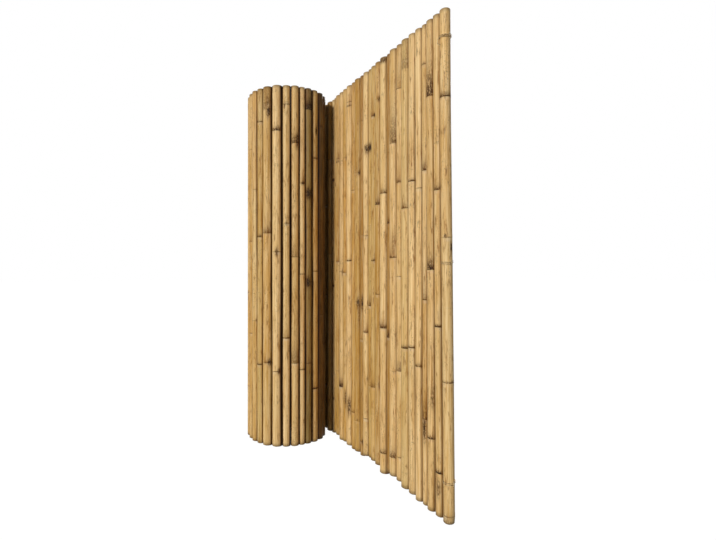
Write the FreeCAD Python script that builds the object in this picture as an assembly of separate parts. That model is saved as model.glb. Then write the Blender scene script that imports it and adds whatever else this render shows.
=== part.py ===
# Bamboo fence panel: upright canes threaded on three wires, stood on end and partly unrolled.
# X runs along the open stretch towards its free end, the open stretch shows its face to -Y,
# the part still rolled up lies on the -Y side, and Z is up with the ground at zero.
import FreeCAD, Part
import math
import os

Vector = FreeCAD.Vector
UP = Vector(0, 0, 1)

# Driving dimensions in millimetres and degrees
DRIVING = {
    "fence_height": 1000,
    "thin_cane": 15,
    "slim_cane": 18,
    "middle_cane": 20.5,
    "full_cane": 23,
    "stout_cane": 26.5,
    "cane_taper": 1.2,
    "cane_wall": 4.5,
    "bore_depth": 35,
    "node_ridge": 0.6,
    "node_slope": 3,
    "internode": 278,
    "internode_spread": 14,
    "node_margin": 10,
    "cane_gap": 0.3,
    "turn_gap": 0.6,
    "roll_radius": 114,
    "step_start": 272,
    "step_span": 100,
    "fan_reach": 14,
    "fan_canes": 6,
    "wire_thickness": 1.2,
    "wire_hole": 2.4,
    "wire_above_foot": 75,
    "wire_below_top": 57,
    "loop_clearance": 0.3,
    "loop_turns": 2,
    "loop_rise": 3.2,
    "tail_length": 12,
}

# Counts of flats that stand for a round section: a cane, its bore, a wire and one turn of a loop
CANE_FLAT_COUNT = 8
BORE_FLAT_COUNT = 6
WIRE_FLAT_COUNT = 4
LOOP_FLAT_COUNT = 8

# The canes in their order from the free end, each letter one of the grades of thickness
GRADES = {"a": "thin_cane", "b": "slim_cane", "c": "middle_cane", "d": "full_cane", "e": "stout_cane"}
OPEN_CANES = "cbcacdeceaedcadbecedddaaedc"
OUTER_TURN = "deeedeeeecdeddceeccabcdcbdcec"
INNER_TURN = "dbcecadcbdc"

# Heights of the nodes on the canes where they are known; on the others they are spread by a fixed share
KNOWN_NODES = {
    0: (13, 270, 551, 826),
    1: (85, 375, 648),
    2: (146, 489, 843),
    3: (178, 426, 696, 916),
    4: (284, 661),
    5: (320, 680),
    6: (315, 625, 935),
    7: (63, 259, 473, 687, 899),
    8: (55, 254, 517, 781),
    9: (329, 599),
    10: (48, 349, 672),
    11: (206, 428, 649, 908),
    12: (195, 511, 874),
    13: (193, 397, 600, 802),
    14: (104, 327, 576, 806),
    15: (37, 306, 580, 880),
    16: (81, 404, 748),
    17: (100, 407, 705),
    18: (126, 513, 941),
    19: (125, 480, 805),
    20: (153, 483, 801),
    21: (193, 513, 813),
    23: (102, 441, 759),
    40: (343, 717),
    41: (221, 581, 905),
    42: (230, 591, 938),
    43: (207, 538, 874),
    44: (299, 617, 946),
    45: (229, 524, 841),
    46: (209, 476, 731),
    47: (225, 454, 706, 940),
    48: (150, 484, 805),
}
NODE_SPREAD = 0.618

# How far a foot ends above the ground on the canes that don't reach down to it
FOOT_GAPS = {5: 4, 6: 5, 7: 10, 8: 12, 9: 9, 11: 10, 12: 11, 13: 10, 14: 9, 16: 4, 18: 3, 19: 4, 21: 6, 22: 6}

doc = FreeCAD.newDocument("bamboo_fence_panel")
sheet = doc.addObject("Spreadsheet::Sheet", "sizes")
for row, (alias, size) in enumerate(DRIVING.items(), start=1):
    sheet.set("A%d" % row, alias)
    sheet.set("B%d" % row, str(size))
    sheet.setAlias("B%d" % row, alias)
doc.recompute()


def size_of(alias):
    """The value that the sheet holds under an alias."""
    return float(getattr(sheet, alias))


HEIGHT = size_of("fence_height")
RIDGE = size_of("node_ridge")
WIRE = size_of("wire_thickness")
WIRE_HEIGHTS = {
    "bottom_wire": size_of("wire_above_foot"),
    "middle_wire": HEIGHT / 2,
    "top_wire": HEIGHT - size_of("wire_below_top"),
}
ORDER = OPEN_CANES + OUTER_TURN + INNER_TURN
SINGLE_CANES = len(OPEN_CANES + OUTER_TURN)


# Flat-sided solids
def corner_reach(apothem, flats):
    """Distance from the middle of a regular polygon to its corners."""
    return apothem / math.cos(math.pi / flats)


def ring(flats, apothem, height):
    """The corners of a level regular polygon whose flats lie square to X."""
    corner = corner_reach(apothem, flats)
    turns = [2 * math.pi * (k + 0.5) / flats for k in range(flats)]
    return [Vector(corner * math.cos(a), corner * math.sin(a), height) for a in turns]


def flat_face(corners):
    """A plane face on a closed run of corners."""
    return Part.Face(Part.makePolygon(corners + corners[:1]))


def skin_solid(rings):
    """The solid between rings of as many corners each, closed by a face at either end."""
    faces = [flat_face(rings[0]), flat_face(rings[-1])]
    for low, high in zip(rings, rings[1:]):
        for k in range(len(low)):
            after = (k + 1) % len(low)
            faces.append(flat_face([low[k], low[after], high[after], high[k]]))
    solid = Part.makeSolid(Part.makeShell(faces))
    if solid.Volume < 0:
        solid.reverse()
    return solid


# Canes
def spread_nodes(index):
    """Evenly spaced nodes, which start at another height on each cane."""
    share = (index * NODE_SPREAD) % 1
    pitch = size_of("internode") + size_of("internode_spread") * (2 * share - 1)
    first = size_of("node_margin") + share * pitch
    return [first + k * pitch for k in range(int(HEIGHT / pitch) + 1)]


def node_heights(index):
    """Heights of the raised nodes of one cane, kept clear of the wires and of both cut ends."""
    margin = size_of("node_margin")
    heights = []
    for height in KNOWN_NODES.get(index) or spread_nodes(index):
        for wire_height in WIRE_HEIGHTS.values():
            if abs(height - wire_height) < margin:
                height = wire_height + margin
        if foot_height(index) + margin <= height < HEIGHT - margin:
            heights.append(height)
    return heights


def foot_height(index):
    """Height of a cane's lower end."""
    return FOOT_GAPS.get(index, 0)


def cane_radius(index, height):
    """Radius of the plain cane; every other cane stands with its root end up."""
    radius = size_of(GRADES[ORDER[index]]) / 2
    loss = size_of("cane_taper") / 2
    share = height / HEIGHT if index % 2 == 0 else 1 - height / HEIGHT
    return radius - loss * share


def cane_solid(index):
    """One cane about Z, with its nodes, its hollow top and the holes for the wires along X."""
    in_sight = index < SINGLE_CANES
    foot = foot_height(index)
    rings = [ring(CANE_FLAT_COUNT, cane_radius(index, foot), foot)]
    if in_sight:
        for height in node_heights(index):
            radius = cane_radius(index, height)
            rings.append(ring(CANE_FLAT_COUNT, radius, height - size_of("node_slope")))
            rings.append(ring(CANE_FLAT_COUNT, radius + RIDGE, height))
    rings.append(ring(CANE_FLAT_COUNT, cane_radius(index, HEIGHT), HEIGHT))
    cuts = [wire_hole(height) for height in WIRE_HEIGHTS.values()]
    if in_sight:
        cuts.append(bore(cane_radius(index, HEIGHT) - size_of("cane_wall")))
    return skin_solid(rings).cut(cuts)


def bore(apothem):
    """The hollow of a cane, open at the top end."""
    depth = size_of("bore_depth")
    low = ring(BORE_FLAT_COUNT, apothem, HEIGHT - depth)
    return skin_solid([low, [corner + UP * (2 * depth) for corner in low]])


def wire_hole(height):
    """The square drilling for one wire, through the thickest cane along X."""
    width = size_of("wire_hole")
    reach = size_of("stout_cane") + 2 * RIDGE
    return Part.makeBox(reach, width, width, Vector(-reach / 2, -width / 2, height - width / 2))


# Layout: each cane's foot in plan, from the free end to the end inside the roll
def knuckle(index):
    """Greatest half width of a cane over its nodes."""
    return size_of(GRADES[ORDER[index]]) / 2 + RIDGE


def loop_apothem(index):
    """Distance from the end cane's axis to the axis of the wire wound about it."""
    return corner_reach(knuckle(index), CANE_FLAT_COUNT) + size_of("loop_clearance") + WIRE / 2


def half_room(index, bend_radius):
    """Half the room of a cane along the mat, its flats turned aslant where the mat is bent."""
    if index in (0, len(ORDER) - 1):
        return loop_apothem(index) + WIRE / 2 + size_of("loop_clearance")
    slant = math.asin(knuckle(index) / bend_radius) if bend_radius else 0
    reach = corner_reach(knuckle(index), CANE_FLAT_COUNT) * math.cos(math.pi / CANE_FLAT_COUNT - slant)
    return reach + size_of("cane_gap") / 2


def step_after(index, bend_radius=0):
    """Centre distance between a cane and the next one along the mat."""
    return half_room(index, bend_radius) + half_room(index + 1, bend_radius)


def bend_radius_at(turned):
    """Radius of the roll's line after so many degrees, one layer less with each turn."""
    stout = size_of("stout_cane") / 2
    layer = corner_reach(stout + RIDGE, CANE_FLAT_COUNT) + corner_reach(stout, CANE_FLAT_COUNT)
    layer += size_of("turn_gap")
    layers = max(0, (turned - size_of("step_start")) / 360)
    share = min(1, (layers % 1) * 360 / size_of("step_span"))
    return size_of("roll_radius") - layer * (math.floor(layers) + share * share * (3 - 2 * share))


def roll_point(turned):
    """A place on the line of the roll after so many degrees, the open stretch's end being zero."""
    radius = bend_radius_at(turned)
    angle = math.radians(turned)
    return Vector(-radius * math.sin(angle), radius * math.cos(angle) - size_of("roll_radius"), 0)


def lay_out():
    """Foot of every cane in plan and how far the roll has turned there: a straight run, then the roll."""
    feet = [Vector(0, 0, 0)]
    for index in range(len(OPEN_CANES) - 2, -1, -1):
        feet.insert(0, feet[0] + Vector(step_after(index), 0, 0))
    turns = [0] * len(feet)
    for index in range(len(OPEN_CANES) - 1, len(ORDER) - 1):
        near, far = turns[-1], turns[-1] + 60
        step = step_after(index, bend_radius_at(near))
        while far - near > 1e-7:
            middle = (near + far) / 2
            if roll_point(middle).distanceToPoint(feet[-1]) < step:
                near = middle
            else:
                far = middle
        turns.append(far)
        feet.append(roll_point(far))
    return feet, turns


FEET, TURNS = lay_out()


def along(index):
    """Unit direction of the mat at a cane, from the free end inwards."""
    if TURNS[index] == 0:
        return Vector(-1, 0, 0)
    return (roll_point(TURNS[index] + 1) - roll_point(TURNS[index] - 1)).normalize()


def fan(index):
    """How far a cane's foot is spread outwards: the free end has opened like a fan."""
    share = max(0, 1 - index / size_of("fan_canes"))
    return size_of("fan_reach") * share * share


def cane_placement(index):
    """Where a cane stands, with its wire holes along the mat."""
    direction = along(index)
    slope = math.atan2(fan(index), HEIGHT)
    turn = FreeCAD.Rotation(UP, math.degrees(math.atan2(direction.y, direction.x)))
    lean = FreeCAD.Rotation(Vector(0, 1, 0), -math.degrees(slope))
    foot = FEET[index] + Vector(fan(index), 0, cane_radius(index, 0) * math.sin(slope))
    return FreeCAD.Placement(foot, lean.multiply(turn))


def axis_at(index, height):
    """The point of a cane's axis at a height."""
    return FEET[index] + Vector(fan(index) * (1 - height / HEIGHT), 0, height)


# Wires
def end_loop(index, height, outwards):
    """Route of a wire out of an end cane, wound about it and ending in a short tail."""
    axis = axis_at(index, height)
    face = Vector(0, -1, 0) if index == 0 else UP.cross(outwards)
    apothem = loop_apothem(index)
    corner = apothem / math.cos(math.pi / LOOP_FLAT_COUNT)
    route = [axis + outwards * apothem]
    for k in range(int(size_of("loop_turns") * LOOP_FLAT_COUNT)):
        share = (k + 0.5) / LOOP_FLAT_COUNT
        angle = 2 * math.pi * share
        sideways = outwards * (corner * math.cos(angle)) + face * (corner * math.sin(angle))
        route.append(axis + sideways + UP * (size_of("loop_rise") * share))
    bend = axis + outwards * (apothem + 2 * WIRE) + UP * (size_of("loop_rise") * size_of("loop_turns"))
    return route + [bend, bend - UP * size_of("tail_length")]


def bend_between(index):
    """Where the straight ways through a cane and the next one meet."""
    here, there = along(index), along(index + 1)
    gap = FEET[index + 1] - FEET[index]
    return FEET[index] + here * (gap.cross(there).z / here.cross(there).z)


def wire_route(height):
    """Corners of a whole wire from tail to tail: straight in each cane, bent between two."""
    last = len(FEET) - 1
    route = end_loop(0, height, along(0) * -1)[::-1]
    for index in range(len(OPEN_CANES) - 1, last):
        route.append(bend_between(index) + UP * height)
    return route + end_loop(last, height, along(last))


def square_to(direction):
    """Two unit vectors square to a direction."""
    side = direction.cross(UP if abs(direction.z) < 0.9 else Vector(1, 0, 0)).normalize()
    return side, direction.cross(side)


def mitred_wire(route):
    """A wire of flat-sided section along straight runs that meet in mitres."""
    runs = [(b - a).normalize() for a, b in zip(route, route[1:])]
    side, rise = square_to(runs[0])
    section = [side * corner.x + rise * corner.y for corner in ring(WIRE_FLAT_COUNT, WIRE / 2, 0)]
    rings = [[route[0] + corner for corner in section]]
    for point, run, after in zip(route[1:], runs, runs[1:] + runs[-1:]):
        mitre = (run + after).normalize()
        moved = [corner + run * ((point - corner).dot(mitre) / run.dot(mitre)) for corner in rings[-1]]
        rings.append(moved)
    return skin_solid(rings)


# Sub-parts, each an object of the document whose label names its file
def sub_part(label, shape, placement):
    """A document object that holds one piece, or one group of like pieces."""
    piece = doc.addObject("Part::Feature", label)
    piece.Label = label
    piece.Shape = shape
    piece.Placement = placement
    return piece


def placed_cane(index):
    """A cane's solid at its place."""
    solid = cane_solid(index)
    solid.Placement = cane_placement(index)
    return solid


pieces = []
for index in range(SINGLE_CANES):
    pieces.append(sub_part("cane_%02d" % (index + 1), cane_solid(index), cane_placement(index)))
rolled_in = [placed_cane(index) for index in range(SINGLE_CANES, len(ORDER))]
pieces.append(sub_part("inner_canes", Part.makeCompound(rolled_in), FreeCAD.Placement()))
for label, height in WIRE_HEIGHTS.items():
    pieces.append(sub_part(label, mitred_wire(wire_route(height)), FreeCAD.Placement()))

# The origin is moved under the middle of the whole footprint
extent = FreeCAD.BoundBox()
for piece in pieces:
    extent.add(piece.Shape.BoundBox)
to_origin = Vector(-extent.Center.x, -extent.Center.y, -extent.ZMin)
for piece in pieces:
    piece.Placement = FreeCAD.Placement(to_origin, FreeCAD.Rotation()).multiply(piece.Placement)
doc.recompute()

# Every object is tested before any file is written
for thing in doc.Objects:
    if "Invalid" in thing.State or "Error" in thing.State:
        raise RuntimeError("%s did not recompute" % thing.Label)
for piece in pieces:
    if piece.Shape.isNull() or not piece.Shape.isValid():
        raise RuntimeError("%s has no valid shape" % piece.Label)

os.makedirs("parts", exist_ok=True)
for piece in pieces:
    piece.Shape.exportStep("parts/%s.step" % piece.Label)
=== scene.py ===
"""Dressed model of a bamboo fence panel: drilled canes on three wires, one end still rolled up."""

import logging
import math
from dataclasses import dataclass, field, replace
from enum import Enum
from typing import ClassVar

import bmesh
import bpy
import numpy as np
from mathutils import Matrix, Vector

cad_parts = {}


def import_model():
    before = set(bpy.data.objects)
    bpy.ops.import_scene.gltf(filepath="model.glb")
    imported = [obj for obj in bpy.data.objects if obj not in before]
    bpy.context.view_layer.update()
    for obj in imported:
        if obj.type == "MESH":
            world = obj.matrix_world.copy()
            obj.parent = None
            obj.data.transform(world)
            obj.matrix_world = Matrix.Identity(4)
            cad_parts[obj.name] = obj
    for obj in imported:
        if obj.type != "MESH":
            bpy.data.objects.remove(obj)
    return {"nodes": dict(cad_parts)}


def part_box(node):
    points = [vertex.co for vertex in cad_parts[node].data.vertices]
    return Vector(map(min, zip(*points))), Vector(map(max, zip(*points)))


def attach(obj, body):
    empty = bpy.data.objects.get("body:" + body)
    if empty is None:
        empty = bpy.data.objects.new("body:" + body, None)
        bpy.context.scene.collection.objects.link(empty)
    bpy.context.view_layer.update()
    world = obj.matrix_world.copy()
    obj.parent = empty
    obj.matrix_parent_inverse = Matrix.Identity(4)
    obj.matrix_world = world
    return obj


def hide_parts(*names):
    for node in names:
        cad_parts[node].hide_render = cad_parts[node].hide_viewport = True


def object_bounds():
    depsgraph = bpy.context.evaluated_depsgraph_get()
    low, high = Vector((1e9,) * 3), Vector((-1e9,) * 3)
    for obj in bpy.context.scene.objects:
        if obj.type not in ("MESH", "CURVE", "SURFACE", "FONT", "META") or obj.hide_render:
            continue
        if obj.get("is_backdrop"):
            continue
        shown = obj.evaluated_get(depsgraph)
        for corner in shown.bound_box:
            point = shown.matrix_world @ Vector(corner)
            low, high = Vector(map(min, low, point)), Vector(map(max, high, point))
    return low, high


LOG = logging.getLogger("bamboo_fence")
MM = 0.001
CAD_FLATS = 8
BODY = "root"
FULL_TURN = 2 * math.pi
NODE_SPAN = 0.1
Colour = tuple[float, float, float]
Range = tuple[float, float]


class Slot(Enum):
    """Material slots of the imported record."""

    CANE = "cane"
    WIRE = "wire"


class Zone(Enum):
    """Surfaces of one cane, in the order of its material slots."""

    SKIN = 0
    CUT = 1
    HOLLOW = 2


def srgb(red: int, green: int, blue: int) -> Colour:
    """Turns a display colour into a linear one.

    Args:
        red, green, blue: Channels from 0 to 255.

    Returns:
        The same colour as linear light from 0 to 1.
    """
    channels = [c / 255 for c in (red, green, blue)]
    return tuple(c / 12.92 if c <= 0.04045 else ((c + 0.055) / 1.055) ** 2.4 for c in channels)


def bell(away: np.ndarray, width: float) -> np.ndarray:
    """A soft hump, 1 at nought and about a third at its width."""
    return np.exp(-((away / width) ** 2))


def placed(name: str, data: bpy.types.ID) -> bpy.types.Object:
    """Adds an object to the scene.

    Args:
        name: The object's name.
        data: Its mesh, curve, lamp or camera.

    Returns:
        The object.
    """
    made = bpy.data.objects.new(name, data)
    bpy.context.scene.collection.objects.link(made)
    return made


@dataclass(frozen=True)
class Grain:
    """Scale of a noise: features for each metre in plan and in height, octaves, weight of each finer one."""

    across: float
    upright: float
    detail: float = 3.0
    roughness: float = 0.55


class Value:
    """A shader socket on which Python's operators add Math nodes."""

    def __init__(self, graph: "Graph", socket: bpy.types.NodeSocket) -> None:
        """Wraps one output socket of a graph."""
        self.graph = graph
        self.socket = socket

    def __add__(self, other: "Value | float") -> "Value":
        """Sum."""
        return self.graph.math("ADD", self, other)

    __radd__ = __add__

    def __sub__(self, other: "Value | float") -> "Value":
        """Difference."""
        return self.graph.math("SUBTRACT", self, other)

    def __rsub__(self, other: float) -> "Value":
        """Difference from a number."""
        return self.graph.math("SUBTRACT", other, self)

    def __mul__(self, other: "Value | float") -> "Value":
        """Product."""
        return self.graph.math("MULTIPLY", self, other)

    __rmul__ = __mul__

    def __abs__(self) -> "Value":
        """Distance from zero."""
        return self.graph.math("ABSOLUTE", self)

    def step(self, low: float, high: float) -> "Value":
        """Smooth rise from 0 at low to 1 at high, or a fall where low is the larger.

        Args:
            low: Where the result is 0.
            high: Where the result is 1.

        Returns:
            The eased value, held between 0 and 1.
        """
        settings = {"interpolation_type": "SMOOTHSTEP"}
        if low < high:
            ends = {"From Min": low, "From Max": high, "To Min": 0.0, "To Max": 1.0}
        else:
            ends = {"From Min": high, "From Max": low, "To Min": 1.0, "To Max": 0.0}
        return self.graph.value("ShaderNodeMapRange", "Result", settings, {"Value": self, **ends})

    def clamp(self) -> "Value":
        """The value held between 0 and 1."""
        return self.graph.value("ShaderNodeClamp", "Result", {}, {"Value": self})


class Graph:
    """The nodes of one material or world, and the means to write its maths."""

    def __init__(self, owner: bpy.types.Material | bpy.types.World) -> None:
        """Empties the owner's node tree.

        Args:
            owner: The material or world.
        """
        owner.use_nodes = True
        self.owner = owner
        self.tree = owner.node_tree
        self.tree.nodes.clear()

    @classmethod
    def material(cls, name: str) -> "Graph":
        """Starts a new material of that name."""
        return cls(bpy.data.materials.new(name))

    def node(self, kind: str, settings: dict | None = None, inputs: dict | None = None) -> bpy.types.Node:
        """Adds any node.

        Args:
            kind: The node's Blender type.
            settings: Properties of the node, set before its sockets.
            inputs: Socket names, or indexes, with a number, a colour or a Value each.

        Returns:
            The new node.
        """
        made = self.tree.nodes.new(kind)
        for key, setting in (settings or {}).items():
            setattr(made, key, setting)
        for key, given in (inputs or {}).items():
            socket = made.inputs[key]
            if isinstance(given, Value):
                self.tree.links.new(given.socket, socket)
            elif socket.type == "RGBA":
                socket.default_value = (*given, 1.0)
            else:
                socket.default_value = given
        return made

    def value(
        self, kind: str, output: str | int, settings: dict | None = None, inputs: dict | None = None
    ) -> Value:
        """Adds a node, given as in node, and wraps the output of that name or index."""
        return Value(self, self.node(kind, settings, inputs).outputs[output])

    def math(self, operation: str, first: "Value | float", second: "Value | float | None" = None) -> Value:
        """Adds one Math node.

        Args:
            operation: The Math node's operation.
            first: Its first operand.
            second: Its second operand, where it has one.

        Returns:
            The node's result.
        """
        inputs = {0: first} if second is None else {0: first, 1: second}
        return self.value("ShaderNodeMath", 0, {"operation": operation}, inputs)

    def mix(self, share: "Value | float", low: "Value | Colour", high: "Value | Colour") -> Value:
        """Blends two colours.

        Args:
            share: 0 for the first colour, 1 for the second.
            low: The first colour.
            high: The second colour.

        Returns:
            The blended colour.
        """
        inputs = {"Factor": share, 6: low, 7: high}
        return self.value("ShaderNodeMix", 2, {"data_type": "RGBA"}, inputs)

    def place(self) -> Value:
        """The point on the object in metres."""
        return self.value("ShaderNodeTexCoord", "Object")

    def seen(self) -> Value:
        """1 for what the eye and gloss see, 0 for light on its way."""
        path = self.node("ShaderNodeLightPath").outputs
        return (Value(self, path["Is Camera Ray"]) + Value(self, path["Is Glossy Ray"])).clamp()

    def noise(self, place: Value, grain: Grain) -> Value:
        """Fractal noise about one half, drawn out or squeezed along the height.

        Args:
            place: The point on the object in metres.
            grain: The noise's scale.

        Returns:
            The noise from 0 to 1.
        """
        factors = {0: place, 1: (grain.across, grain.across, grain.upright)}
        scaled = self.value("ShaderNodeVectorMath", 0, {"operation": "MULTIPLY"}, factors)
        inputs = {"Vector": scaled, "Scale": 1.0, "Detail": grain.detail, "Roughness": grain.roughness}
        return self.value("ShaderNodeTexNoise", 0, {}, inputs)

    def painted(self, name: str) -> tuple[Value, Value, Value]:
        """Three masks that the mesh carries as one colour attribute.

        Args:
            name: The attribute's name.

        Returns:
            Its red, green and blue channels.
        """
        colour = self.value("ShaderNodeAttribute", "Color", {"attribute_name": name})
        split = self.node("ShaderNodeSeparateColor", {}, {0: colour})
        return tuple(Value(self, output) for output in split.outputs[:3])

    def finish(self, sockets: dict, height: Value, depth: float) -> bpy.types.Material:
        """Closes the graph with a Principled surface.

        Args:
            sockets: Inputs of the Principled node.
            height: Relief that feeds a Bump node.
            depth: The relief's full height in metres.

        Returns:
            The finished material.
        """
        relief = {"Strength": 1.0, "Distance": depth, "Height": height}
        bump = self.value("ShaderNodeBump", 0, {}, relief)
        surface = self.value("ShaderNodeBsdfPrincipled", 0, {}, {**sockets, "Normal": bump})
        self.node("ShaderNodeOutputMaterial", {}, {"Surface": surface})
        return self.owner


@dataclass(frozen=True)
class BambooSkin:
    """Dry bamboo skin: straw ground, fibre streaks, pale and dark node rings, mould, scars and painted
    shade.
    """

    pale: Colour = srgb(255, 225, 170)
    straw: Colour = srgb(236, 192, 120)
    honey: Colour = srgb(198, 143, 58)
    olive: Colour = srgb(180, 162, 86)
    russet: Colour = srgb(150, 98, 34)
    # Brown of the painted shade in the creases between canes.
    shade_brown: Colour = srgb(124, 76, 22)
    umber: Colour = srgb(82, 46, 14)
    soot: Colour = srgb(38, 24, 10)
    bloom: Colour = srgb(230, 214, 182)
    # Near black of the painted shade in the deepest creases and over canes that lie in shadow.
    shade_black: Colour = srgb(26, 11, 2)
    fibre: Grain = Grain(900, 9, 2.0)
    streak: Grain = Grain(300, 4, 4.0, 0.6)
    cloud: Grain = Grain(60, 14, 4.0)
    mottle: Grain = Grain(420, 190, 5.0, 0.65)
    smudge: Grain = Grain(330, 48, 5.0, 0.66)
    blotch: Grain = Grain(130, 24, 4.0, 0.6)
    speck: Grain = Grain(520, 260, 2.0, 0.5)
    patch: Grain = Grain(38, 11, 3.0, 0.6)
    wax_below: float = 3.5 * MM
    line_above: float = 1 * MM
    gloss: float = 0.22
    relief: float = 0.2 * MM

    def material(self) -> bpy.types.Material:
        """Builds the skin's material.

        Returns:
            The material, which reads the attributes tint, marks, joint and edge of a cane's mesh.
        """
        g = Graph.material("bamboo_skin")
        place = g.place()
        tone, olive, brown = g.painted("tint")
        # The marks attribute carries scars, discolouring with a few spots of painted shadow, and grooves.
        scar, stain_and_shadow, groove = g.painted("marks")
        above, plain, char = g.painted("joint")
        # The edge attribute carries painted shade in the creases between canes, real weathering at the sawn
        # ends, and painted shade over whole canes in shadow.
        crease_shade_mask, worn, shadow_darkening = g.painted("edge")
        gap = (above - 0.5) * NODE_SPAN
        fibre, streak = g.noise(place, self.fibre), g.noise(place, self.streak)
        cloud, mottle = g.noise(place, self.cloud), g.noise(place, self.mottle)
        smudge, blotch = g.noise(place, self.smudge), g.noise(place, self.blotch)
        speck, patch = g.noise(place, self.speck), g.noise(place, self.patch)
        waxy = abs(gap + self.wax_below).step(5.5 * MM, 0.8 * MM) * cloud.step(0.35, 0.65) * plain
        line = abs(gap - self.line_above).step(1.8 * MM, 0.3 * MM) * plain * mottle.step(0.28, 0.5)
        blot = stain_and_shadow.step(0.12, 0.75) * mottle.step(0.36, 0.58)
        mould = speck.step(0.58, 0.68) * patch.step(0.5, 0.66)
        layers = (
            (streak.step(0.25, 0.75) * 0.9 + tone * 0.95 - 0.42, self.straw),
            ((tone * 0.9 + cloud - 0.75).clamp() * 0.8, self.pale),
            (olive * (cloud * 0.7 + 0.45), self.olive),
            (brown * (smudge * 0.9 + 0.35), self.russet),
            (fibre.step(0.55, 0.38) * 0.5, self.honey),
            (fibre.step(0.5, 0.68) * 0.55, self.pale),
            (streak.step(0.46, 0.32) * cloud.step(0.62, 0.42) * 0.6, self.russet),
            (blotch.step(0.5, 0.66) * smudge.step(0.4, 0.6) * 0.75, self.russet),
            (smudge.step(0.56, 0.7) * patch.step(0.42, 0.6) * 0.65, self.umber),
            (groove.clamp() * 0.5, self.russet),
            ((char * (smudge.step(0.3, 0.55) + 0.2)).clamp() * 0.85, self.russet),
            (char * char * mottle.step(0.36, 0.55) * 0.8, self.umber),
            (waxy * 0.4, self.bloom),
            (line * 0.9, self.umber),
            (scar.clamp() * (mottle * 0.6 + 0.5), self.umber),
            # Marks, and the spots of painted shadow among them, go umber and then near black.
            ((stain_and_shadow * 0.45 + blot * 0.75).clamp() * (0.6 + speck * 0.6), self.umber),
            (stain_and_shadow.step(0.55, 0.95) * mottle.step(0.38, 0.5) * 0.9, self.soot),
            (mould * 0.6, self.umber),
            (worn * 0.7, self.soot),
            # Painted shade: canes in shadow darken whole, and the creases between touching canes go brown,
            # then near black.
            (shadow_darkening * (cloud + 0.5), self.shade_black),
            ((crease_shade_mask * 1.3).clamp() * 0.85, self.shade_brown),
            (crease_shade_mask * crease_shade_mask * (0.75 + cloud * 0.5), self.shade_black),
        )
        ground = self.honey
        for share, colour in layers:
            ground = g.mix(share, ground, colour)
        rough = 0.52 + fibre * 0.12 + (mould + blot + line).clamp() * 0.2
        relief = fibre * 0.6 + streak * 0.35 - line * 0.6
        sockets = {"Base Color": ground, "Roughness": rough, "Specular IOR Level": self.gloss}
        return g.finish(sockets, relief, self.relief)


@dataclass(frozen=True)
class CutBamboo:
    """Sawn end of a cane: pale pith, darker vascular dots and a weathered rim."""

    pith: Colour = srgb(196, 160, 108)
    dot: Colour = srgb(112, 78, 44)
    weather: Colour = srgb(128, 104, 76)
    grey: Grain = Grain(90, 90, 4.0)
    cells: float = 1300.0
    relief: float = 0.3 * MM

    def material(self) -> bpy.types.Material:
        """Builds the material of a cut end.

        Returns:
            The material.
        """
        g = Graph.material("bamboo_cut_end")
        place = g.place()
        cells = g.value("ShaderNodeTexVoronoi", "Distance", {}, {"Vector": place, "Scale": self.cells})
        grey = g.noise(place, self.grey)
        ground = g.mix(cells.step(0.42, 0.2) * 0.75, self.pith, self.dot)
        ground = g.mix(grey.step(0.35, 0.7) * 0.7, ground, self.weather)
        return g.finish({"Base Color": ground, "Roughness": 0.8}, cells, self.relief)


@dataclass(frozen=True)
class HollowBamboo:
    """Inside wall of a cane, dusty and brown."""

    wall: Colour = srgb(150, 112, 66)
    dust: Colour = srgb(88, 62, 38)
    streak: Grain = Grain(700, 40)
    relief: float = 0.2 * MM

    def material(self) -> bpy.types.Material:
        """Builds the material of the hollow.

        Returns:
            The material.
        """
        g = Graph.material("bamboo_hollow")
        streak = g.noise(g.place(), self.streak)
        ground = g.mix(streak.step(0.3, 0.7), self.wall, self.dust)
        return g.finish({"Base Color": ground, "Roughness": 0.85}, streak, self.relief)


@dataclass(frozen=True)
class Galvanised:
    """Dull zinc-coated wire with tarnish."""

    zinc: Colour = srgb(206, 182, 134)
    tarnish: Colour = srgb(112, 84, 48)
    grain: Grain = Grain(400, 400)
    relief: float = 0.08 * MM

    def material(self) -> bpy.types.Material:
        """Builds the wire's material.

        Returns:
            The material.
        """
        g = Graph.material("galvanised_wire")
        grain = g.noise(g.place(), self.grain)
        ground = g.mix(grain.step(0.45, 0.58), self.zinc, self.tarnish)
        rough = 0.42 + grain * 0.25
        return g.finish({"Base Color": ground, "Roughness": rough, "Metallic": 0.35}, grain, self.relief)


@dataclass(frozen=True)
class PaleFloor:
    """White ground that stays white to the eye and keeps the shadow of what stands on it."""

    albedo: Colour = (0.09, 0.09, 0.09)
    glow: float = 0.97

    def material(self) -> bpy.types.Material:
        """Builds the ground's material.

        Returns:
            The material.
        """
        g = Graph.material("pale_floor")
        matt = g.value("ShaderNodeBsdfDiffuse", 0, {}, {"Color": self.albedo})
        strength = g.seen() * self.glow
        lit = g.value("ShaderNodeEmission", 0, {}, {"Color": (1.0, 1.0, 1.0), "Strength": strength})
        both = g.value("ShaderNodeAddShader", 0, {}, {0: matt, 1: lit})
        g.node("ShaderNodeOutputMaterial", {}, {"Surface": both})
        return g.owner


@dataclass(frozen=True)
class Finishes:
    """Every material of the object, built once."""

    skin: bpy.types.Material
    cut: bpy.types.Material
    hollow: bpy.types.Material
    wire: bpy.types.Material

    @classmethod
    def build(cls) -> "Finishes":
        """Makes the materials."""
        skin, cut = BambooSkin().material(), CutBamboo().material()
        return cls(skin, cut, HollowBamboo().material(), Galvanised().material())


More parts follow.
